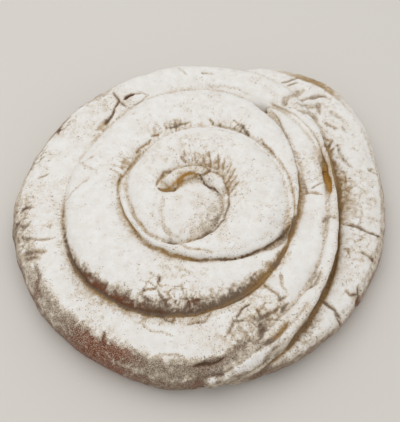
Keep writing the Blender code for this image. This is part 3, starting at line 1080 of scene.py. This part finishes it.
    def press_edges(self, notes: SkinNotes) -> None:
        """Works every long edge into the skin: its crevice, its lip, the crust on its side and the painted
        shade in its crevice.

        Args:
            notes: The notes on the skin.
        """
        for edge in EDGES:
            first, last = edge.angles[0], edge.angles[-1]
            turned = (notes.angle - first) % 360 + first
            turned = np.where(turned > last + 180, turned - 360, turned)
            distance = notes.radius - edge.read(edge.radii, turned)
            within = smooth_step(turned, first - self.edge_fade, first + self.edge_fade)
            within *= 1 - smooth_step(turned, last - self.edge_fade, last + self.edge_fade)
            reach = np.where(distance < 0, edge.read(edge.inside, turned), edge.read(edge.outside, turned))
            band = 1 - np.abs(distance) / reach + self.edge_ragged * notes.ragged
            mark = within * smooth_step(band, 0.0, 1.0)
            bare, bake = mark * edge.read(edge.bare, turned), mark * edge.read(edge.bake, turned)
            crevice = within * bell(distance, edge.width)
            lip = within * bell(distance + self.lip_place * edge.width, self.lip_width * edge.width)
            notes.shift += edge.lip * lip - edge.depth * crevice
            notes.bare += bare
            notes.bake += bake
            if edge.depth > 0:
                notes.bare += self.halo_bare * within * bell(distance, self.halo)
                # painted shade along the crevice, darker where it is bare and baked
                painted_shade = np.clip(bare + bake - self.edge_shade_start, 0.0, edge.painted_shade)
                notes.crack_shade = np.maximum(notes.crack_shade, crevice * painted_shade)

    def press_creases(self, notes: SkinNotes) -> None:
        """Works every crack and short fold into the skin, with painted shade in the core of the darker
        cracks.

        Args:
            notes: The notes on the skin.
        """
        for crease in CREASES:
            distance, share = self.line_distance(notes.x, notes.y, crease.line)
            ends = np.minimum(share, 1 - share)
            taper = np.sqrt(np.clip(ends * self.taper, self.taper_least, 1.0))
            notes.shift -= crease.depth * taper * bell(distance, crease.width * taper)
            reach = crease.width * crease.spread * taper
            mark = sum(part * bell(distance, width * reach) for part, width in self.crease_profile)
            notes.bare += crease.bare * mark
            notes.bake += crease.bake * mark
            # painted shade in the core of a bare and baked crease
            painted_shade = max(crease.bare + crease.bake - self.crease_shade_start, 0.0)
            notes.crack_shade = np.maximum(notes.crack_shade, mark * min(painted_shade, self.crease_shade_most))

    def press_patches(self, notes: SkinNotes) -> None:
        """Lays the wide folds over the outer turns, and every patch over the skin.

        Args:
            notes: The notes on the skin.
        """
        arc = np.radians(notes.angle) * self.fold_radius
        folds = np.stack([arc, notes.radius / self.fold_length, np.zeros(len(arc))], axis=1)
        depth, size, offset = self.wide_folds
        relief = smooth_noise(folds * self.wide_fold_squeeze, size, offset)
        notes.shift += depth * smooth_step(notes.radius, *self.wide_fold_span) * relief
        patterns = {Pattern.VEIL: 1 + self.veil_ragged * notes.ragged}
        lines = ((Pattern.VEINS, notes.points, self.veins), (Pattern.PLEATS, folds, self.pleats))
        for pattern, places, (size, offset, half_width, ragged) in lines:
            patterns[pattern] = bell(smooth_noise(places, size, offset), half_width) + ragged * notes.ragged
        for patch in PATCHES:
            along = np.radians(degrees_apart(notes.angle, patch.angle)) * patch.radius / patch.along
            across = (notes.radius - patch.radius) / patch.across
            mark = np.exp(-(along**2) - across**2)
            notes.bare += patch.bare * mark * patterns[patch.pattern]
            notes.bake += patch.bake * mark
            notes.shift -= patch.depth * mark * np.clip(patterns[patch.pattern], 0.0, 1.0)
            if patch.pattern is Pattern.VEINS:
                notes.split += self.flakes * patch.bare * mark

    def work(self, loaf: bpy.types.Object) -> None:
        """Works the whole skin, and stores at each point the values that the finish reads.

        Args:
            loaf: The closed loaf.
        """
        mesh = loaf.data
        notes = self.read_skin(mesh)
        self.press_edges(notes)
        self.press_creases(notes)
        self.press_patches(notes)
        above = notes.points[:, 2] > self.base_height
        write_points(mesh, notes.points + notes.normals * (notes.shift * above)[:, None])
        # small hollows: partly thinner sugar, partly painted shade
        notes.bare += np.clip(self.cavity_share * self.cavity(mesh), *self.cavity_limits) * above
        front = 1 - smooth_step(degrees_apart(notes.angle, self.loose_side), *self.loose_span)
        dust = (1 - self.loose_least) * front * smooth_step(notes.radius, *self.loose_radius)
        dust += self.loose_least
        for name, values in zip(STORED, (notes.bare, notes.bake, notes.crack_shade, notes.split, dust)):
            layer = mesh.attributes.new(name, "FLOAT", "POINT")
            layer.data.foreach_set("value", np.clip(values, 0.0, self.stored_most))


# ----------------------------------------
# Finishes
# ----------------------------------------


def add_node(
    tree: bpy.types.NodeTree,
    kind: str,
    settings: dict[str, object] | None = None,
    inputs: dict[str | int, object] | Iterable[object] = (),
) -> bpy.types.Node:
    """Adds one node with its settings and links.

    Args:
        tree: The material's node tree.
        kind: The node's type name.
        settings: Values for the node's own properties.
        inputs: Values, or other nodes' outputs, for its inputs: by name or number, or all in their order.

    Returns:
        The new node.
    """
    node = tree.nodes.new(kind)
    for key, value in (settings or {}).items():
        setattr(node, key, value)
    for key, value in inputs.items() if isinstance(inputs, dict) else enumerate(inputs):
        if isinstance(value, bpy.types.NodeSocket):
            tree.links.new(value, node.inputs[key])
        else:
            node.inputs[key].default_value = value
    return node


# Kinds of node, with the settings that they have each time.
PRODUCT_PLUS = ("ShaderNodeMath", {"operation": "MULTIPLY_ADD"})  # reads (value, factor, what is added)
SMOOTH_RISE = ("ShaderNodeMapRange", {"interpolation_type": "SMOOTHSTEP"})  # (value, from, to, first, last)
MIX_COLOURS = ("ShaderNodeMix", {"data_type": "RGBA"})
UNDER, OVER, MIXED = 6, 7, 2  # the colour inputs and output of a Mix node
NOISE = ("ShaderNodeTexNoise", None)
MIDDLE = 0.5  # a noise's average


class Grain(Enum):
    """The noises that break up sugar and crust: (size in millimetres, detail)."""

    PATCHES = (3.2, 6.0)
    SPECKS = (0.75, 2.0)  # real grains are far finer than can show
    DRIFTS = (8.0, 4.0)
    DOTS = (1.1, 1.0)  # crumbs of crust that poke through
    DUST = (0.7, 1.0)  # grains that still lie on bare crust


@dataclass(frozen=True)
class Surface:
    """What the finish reads at each point of the skin."""

    tree: bpy.types.NodeTree
    place: Socket  # Object coordinates
    noise: dict[Grain, Socket]
    stored: dict[str, Socket]


@dataclass(frozen=True)
class SugaredCrust:
    """Icing sugar sifted over a baked, lard-laminated crust.

    The sugar is a dry powder, so it is bright, nearly white and quite without gloss. Where it is thin it
    turns beige and breaks up into specks and short strokes across the rope, and the crust shows: gold in
    the folds, brown on baked sides. The deepest cracks and crevices get a painted dark brown shade, and
    crumbs of crust show the same dark brown.
    """

    sugar_light: str = "EEECE8"
    sugar_shade: str = "E6E2DC"
    sugar_thin: str = "D8CBB8"
    # painted shade in the deepest cracks, also the colour of dark crumbs of crust
    crack_shade: str = "4A3725"
    crust: tuple[tuple[float, str], ...] = (
        (0.0, "AE7E30"),
        (0.12, "9E7F50"),
        (0.28, "8C6C42"),
        (0.5, "736353"),
        (0.75, "6C4F3A"),
        (1.0, "6E381A"),
    )
    sugar_roughness: float = 0.95
    crust_roughness: float = 0.6
    specular: float = 0.25
    relief_strength: float = 0.5
    relief_depth: float = 0.3
    noise_roughness: float = 0.6

    # how much each noise moves the thinness of the sugar
    patch_share: float = 0.55
    speck_share: float = 0.8
    streak_share: float = 1.1
    loose_specks: float = 0.9  # how much stronger specks are where loose sugar lies

    # smooth rises, each (from, to) of what is read and (first, last) of what comes out
    unrest: Row = (0.0, 0.5, 0.25, 1.0)  # how broken up the sugar is, by bareness
    beige: Row = (0.0, 0.5)  # how beige the sugar is, by thinness
    bald: Row = (0.15, 1.1)  # how much crust shows, by thinness
    drifts: Row = (0.3, 0.7)
    dust: Row = (0.46, 0.68, 0.0, 0.5)
    flaking: Row = (0.35, 0.6)  # how much of the sugar splits, by the noise in patches
    painted_shade: Row = (0.55, 1.05, 0.0, 0.9)  # how much painted shade a crack gets, by its stored shade and the specks
    dots: Row = (0.62, 0.7)
    dot_share: Row = (0.03, 0.2, 0.1, 0.8)  # how dark the dots are, by bareness
    speck_dark: float = 0.5  # how much the specks break up a crack's painted shade

    # strokes across the rope: the radius at which each layer has its true (width, length)
    streaks: tuple[Point, ...] = ((30.0, 1.0, 4.0), (95.0, 1.5, 4.5))
    streak_detail: float = 3.0
    streak_wobble: float = 0.5
    streak_change: Row = (41.6, 62.4)  # radius over which the second layer takes over
    streak_fade: Row = (100.0, 114.0)  # radius over which both fade
    streak_rim: float = 0.25  # what is left of them there

    # flakes that thin sugar has split into
    flake_size: float = 7.5
    flake_wobble: float = 7.0
    flake_detail: float = 4.0
    flake_line: float = 0.13  # a crack's half width, as a share of a flake

    def read_surface(self, tree: bpy.types.NodeTree) -> Surface:
        """Reads the place of each point, the noises there and the values that the skin stores.

        Args:
            tree: The material's node tree.

        Returns:
            The sockets that give them.
        """
        place = add_node(tree, "ShaderNodeTexCoord").outputs["Object"]
        noises = {}
        for grain in Grain:
            size, detail = grain.value
            values = {"Vector": place, "Scale": 1 / (size * METRES)}
            values |= {"Detail": detail, "Roughness": self.noise_roughness}
            noises[grain] = add_node(tree, *NOISE, values).outputs["Fac"]
        stored = {}
        for name in STORED:
            node = add_node(tree, "ShaderNodeAttribute", {"attribute_name": name})
            stored[name] = node.outputs["Fac"]
        return Surface(tree, place, noises, stored)

    def flake_cracks(self, surface: Surface) -> Socket:
        """Draws a net of fine cracks between irregular flakes.

        Args:
            surface: What the finish reads.

        Returns:
            1 on a crack and 0 on a flake.
        """
        tree, reach = surface.tree, self.flake_wobble * METRES
        values = {"Vector": surface.place, "Scale": 1 / reach, "Detail": self.flake_detail}
        stir = add_node(tree, *NOISE, values).outputs["Color"]
        add = {"operation": "MULTIPLY_ADD"}
        moved = add_node(tree, "ShaderNodeVectorMath", add, (stir, (reach,) * 3, surface.place)).outputs[0]
        values = {"Vector": moved, "Scale": 1 / (self.flake_size * METRES)}
        cells = add_node(tree, "ShaderNodeTexVoronoi", {"feature": "DISTANCE_TO_EDGE"}, values)
        limits = (cells.outputs["Distance"], 0.0, self.flake_line, 1.0, 0.0)
        return add_node(tree, *SMOOTH_RISE, limits).outputs[0]

    def streak_noise(self, surface: Surface) -> Socket:
        """Draws short strokes that all run across the rope.

        Args:
            surface: What the finish reads.

        Returns:
            The strokes' value, about 0.5 on average.
        """
        tree = surface.tree
        shift = (-COIL_CENTRE[0] * METRES, -COIL_CENTRE[1] * METRES, 0.0)
        values = {"Vector": surface.place, "Location": shift, "Scale": (1.0, 1.0, 0.0)}
        flat = add_node(tree, "ShaderNodeMapping", None, values).outputs[0]
        east, north, _ = add_node(tree, "ShaderNodeSeparateXYZ", None, (flat,)).outputs
        height = add_node(tree, "ShaderNodeSeparateXYZ", None, (surface.place,)).outputs[2]
        turn = add_node(tree, "ShaderNodeMath", {"operation": "ARCTAN2"}, (north, east)).outputs[0]
        radius = add_node(tree, "ShaderNodeVectorMath", {"operation": "LENGTH"}, (flat,)).outputs["Value"]
        layers = []
        for at_radius, width, length in self.streaks:
            across = 1 / (length * METRES)
            scales = ((turn, at_radius / width), (radius, across), (height, across))
            parts = [add_node(tree, *PRODUCT_PLUS, (*scale, 0.0)).outputs[0] for scale in scales]
            spot = add_node(tree, "ShaderNodeCombineXYZ", None, parts).outputs[0]
            values = {"Vector": spot, "Scale": 1.0, "Detail": self.streak_detail}
            values |= {"Roughness": self.noise_roughness, "Distortion": self.streak_wobble}
            layers.append(add_node(tree, *NOISE, values).outputs["Fac"])
        limits = (limit * METRES for limit in self.streak_change)
        change = add_node(tree, *SMOOTH_RISE, (radius, *limits)).outputs[0]
        values = {"Factor": change, 2: layers[0], 3: layers[1]}  # 2 and 3 are the plain A and B
        mixed = add_node(tree, "ShaderNodeMix", {"data_type": "FLOAT"}, values).outputs[0]
        limits = (limit * METRES for limit in self.streak_fade)
        fade = add_node(tree, *SMOOTH_RISE, (radius, *limits, 1.0, self.streak_rim)).outputs[0]
        centred = add_node(tree, *PRODUCT_PLUS, (mixed, 1.0, -MIDDLE)).outputs[0]
        return add_node(tree, *PRODUCT_PLUS, (centred, fade, MIDDLE)).outputs[0]

    def thinness(self, surface: Surface) -> Socket:
        """Breaks the stored bareness up into patches, strokes, specks and flakes.

        Args:
            surface: What the finish reads.

        Returns:
            How thin the sugar is at each point, from 0 to about 1.
        """
        tree, noises, stored = surface.tree, surface.noise, surface.stored
        unrest = add_node(tree, *SMOOTH_RISE, (stored["bare"], *self.unrest)).outputs[0]
        centred = add_node(tree, *PRODUCT_PLUS, (noises[Grain.SPECKS], 1.0, -MIDDLE)).outputs[0]
        stronger = add_node(tree, *PRODUCT_PLUS, (stored["dust"], self.loose_specks, 1.0)).outputs[0]
        specks = add_node(tree, *PRODUCT_PLUS, (centred, stronger, MIDDLE)).outputs[0]
        thin = stored["bare"]
        for pattern, share in (
            (noises[Grain.PATCHES], self.patch_share),
            (specks, self.speck_share),
            (self.streak_noise(surface), self.streak_share),
        ):
            change = add_node(tree, *PRODUCT_PLUS, (pattern, share, -share * MIDDLE)).outputs[0]
            thin = add_node(tree, *PRODUCT_PLUS, (change, unrest, thin)).outputs[0]
        flaking = add_node(tree, *SMOOTH_RISE, (noises[Grain.PATCHES], *self.flaking)).outputs[0]
        split = add_node(tree, *PRODUCT_PLUS, (stored["split"], flaking, 0.0)).outputs[0]
        return add_node(tree, *PRODUCT_PLUS, (split, self.flake_cracks(surface), thin)).outputs[0]

    def darkness(self, surface: Surface) -> Socket:
        """Finds the painted shade in the deepest cracks, and how dark the scattered crumbs are.

        Args:
            surface: What the finish reads.

        Returns:
            The share of the dark crack-shade colour at each point.
        """
        tree, noises, stored = surface.tree, surface.noise, surface.stored
        broken = (noises[Grain.SPECKS], self.speck_dark, stored["crack_shade"])
        depth = add_node(tree, *PRODUCT_PLUS, broken).outputs[0]
        crack_shade = add_node(tree, *SMOOTH_RISE, (depth, *self.painted_shade)).outputs[0]
        dots = add_node(tree, *SMOOTH_RISE, (noises[Grain.DOTS], *self.dots)).outputs[0]
        share = add_node(tree, *SMOOTH_RISE, (stored["bare"], *self.dot_share)).outputs[0]
        return add_node(tree, *PRODUCT_PLUS, (dots, share, crack_shade)).outputs[0]

    def crust_colour(self, surface: Surface) -> Socket:
        """Finds the bare crust's colour, darker with baking.

        Args:
            surface: What the finish reads.

        Returns:
            The colour.
        """
        ramp = add_node(surface.tree, "ShaderNodeValToRGB", None, {"Fac": surface.stored["bake"]})
        stops = ramp.color_ramp.elements
        for stop, (position, colour) in zip(stops, (self.crust[0], self.crust[-1])):
            stop.position = position
            stop.color = linear(colour)
        for position, colour in self.crust[1:-1]:
            stops.new(position).color = linear(colour)
        return ramp.outputs["Color"]

    def build(self) -> bpy.types.Material:
        """Makes the material.

        Returns:
            The finished material.
        """
        material = bpy.data.materials.new("icing_sugar_on_baked_crust")
        material.use_nodes = True
        tree = material.node_tree
        tree.nodes.clear()
        surface = self.read_surface(tree)
        noises = surface.noise
        thin = self.thinness(surface)
        drifts = add_node(tree, *SMOOTH_RISE, (noises[Grain.DRIFTS], *self.drifts)).outputs[0]
        beige = add_node(tree, *SMOOTH_RISE, (thin, *self.beige)).outputs[0]
        bald = add_node(tree, *SMOOTH_RISE, (thin, *self.bald)).outputs[0]
        grains = add_node(tree, *SMOOTH_RISE, (noises[Grain.DUST], *self.dust)).outputs[0]
        dust = add_node(tree, *PRODUCT_PLUS, (grains, surface.stored["dust"], 0.0)).outputs[0]
        values = {"Factor": dust, UNDER: self.crust_colour(surface), OVER: linear(self.sugar_thin)}
        crust = add_node(tree, *MIX_COLOURS, values).outputs[MIXED]
        colour = linear(self.sugar_light)
        for share, over in (
            (drifts, linear(self.sugar_shade)),
            (beige, linear(self.sugar_thin)),
            (bald, crust),
            # painted shade in the deepest cracks, and dark crumbs of crust
            (self.darkness(surface), linear(self.crack_shade)),
        ):
            values = {"Factor": share, UNDER: colour, OVER: over}
            colour = add_node(tree, *MIX_COLOURS, values).outputs[MIXED]
        values = {"Value": bald, "To Min": self.sugar_roughness, "To Max": self.crust_roughness}
        roughness = add_node(tree, "ShaderNodeMapRange", None, values).outputs[0]
        relief = {"Strength": self.relief_strength, "Distance": self.relief_depth * METRES}
        bump = add_node(tree, "ShaderNodeBump", None, relief | {"Height": noises[Grain.SPECKS]})
        values = {"Base Color": colour, "Roughness": roughness, "Specular IOR Level": self.specular}
        values["Normal"] = bump.outputs["Normal"]
        shader = add_node(tree, "ShaderNodeBsdfPrincipled", None, values)
        add_node(tree, "ShaderNodeOutputMaterial", None, {"Surface": shader.outputs["BSDF"]})
        return material


@dataclass(frozen=True)
class PaleTable:
    """Matt painted table top, a plain warm grey."""

    colour: str = "D9D5CE"
    roughness: float = 0.9

    def build(self) -> bpy.types.Material:
        """Makes the material.

        Returns:
            The finished material.
        """
        material = bpy.data.materials.new("matt_painted_table")
        material.use_nodes = True
        shader = material.node_tree.nodes["Principled BSDF"]
        shader.inputs["Base Color"].default_value = linear(self.colour)
        shader.inputs["Roughness"].default_value = self.roughness
        return material


# ----------------------------------------
# The loaf, and the stage that it stands on
# ----------------------------------------


@dataclass
class Loaf:
    """The whole ensaimada."""

    rope: DoughRope
    skin: WorkedSkin
    finish: SugaredCrust

    def build(self) -> bpy.types.Object:
        """Shapes the loaf.

        Returns:
            The loaf as one closed mesh.
        """
        loaf = self.rope.build()
        self.skin.raise_lumps(loaf.data)
        self.skin.cut_flat_base(loaf)
        self.skin.work(loaf)
        select_only([loaf])
        bpy.ops.object.shade_smooth()
        return loaf

    def dress(self, loaf: bpy.types.Object) -> None:
        """Gives the loaf its finish and its place in the frame.

        Args:
            loaf: The built loaf.
        """
        loaf.data.materials.clear()
        loaf.data.materials.append(self.finish.build())
        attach(loaf, BODY)
        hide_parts(NODE)


@dataclass
class Studio:
    """A pale table under soft light, and the camera."""

    elevation: float = 58.0
    distance: float = 600.0
    target: Point = (-0.4, -2.6, 20.0)
    lens: float = 66.9
    sensor: float = 36.0
    table_size: float = 6000.0
    sky_colour: str = "F8F8F8"
    sky_strength: float = 0.74
    key_power: float = 2.8
    key_size: float = 900.0
    key_place: Point = (-120.0, 120.0, 880.0)

    def build_table(self) -> None:
        """Adds the table top."""
        bpy.ops.mesh.primitive_plane_add(size=self.table_size * METRES)
        table = bpy.context.object
        table.name = "table"
        table.data.materials.append(PaleTable().build())

    def build_camera(self) -> None:
        """Adds the camera and makes it the scene's own."""
        camera = bpy.data.cameras.new("camera")
        camera.lens = self.lens
        camera.sensor_width = self.sensor
        obj = bpy.data.objects.new("camera", camera)
        bpy.context.scene.collection.objects.link(obj)
        rise = math.radians(self.elevation)
        back = Vector((0, -math.cos(rise), math.sin(rise))) * self.distance
        obj.location = (Vector(self.target) + back) * METRES
        obj.rotation_euler = (math.pi / 2 - rise, 0, 0)
        bpy.context.scene.camera = obj

    def build_light(self) -> None:
        """Adds an even pale sky and one large soft lamp."""
        world = bpy.data.worlds.new("soft_sky")
        world.use_nodes = True
        background = world.node_tree.nodes["Background"]
        background.inputs["Color"].default_value = linear(self.sky_colour)
        background.inputs["Strength"].default_value = self.sky_strength
        bpy.context.scene.world = world
        lamp = bpy.data.lights.new("soft_lamp", "AREA")
        lamp.size = self.key_size * METRES
        lamp.energy = self.key_power
        obj = bpy.data.objects.new("soft_lamp", lamp)
        bpy.context.scene.collection.objects.link(obj)
        obj.location = Vector(self.key_place) * METRES
        obj.rotation_euler = (-Vector(self.key_place)).to_track_quat("-Z", "Y").to_euler()

    def build(self) -> None:
        """Sets the whole stage."""
        bpy.context.scene.view_settings.view_transform = "Standard"
        self.build_table()
        self.build_light()
        self.build_camera()


def main() -> None:
    """Builds and dresses everything, and notes the loaf's point and triangle counts."""
    logging.basicConfig(level=logging.INFO, format="%(name)s: %(message)s")
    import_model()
    studio = Studio()
    studio.build()
    loaf_maker = Loaf(DoughRope(), WorkedSkin(), SugaredCrust())
    loaf = loaf_maker.build()
    loaf_maker.dress(loaf)
    loaf.data.calc_loop_triangles()
    LOG.info("loaf: %d points, %d triangles", len(loaf.data.vertices), len(loaf.data.loop_triangles))


if __name__ == "__main__":
    main()
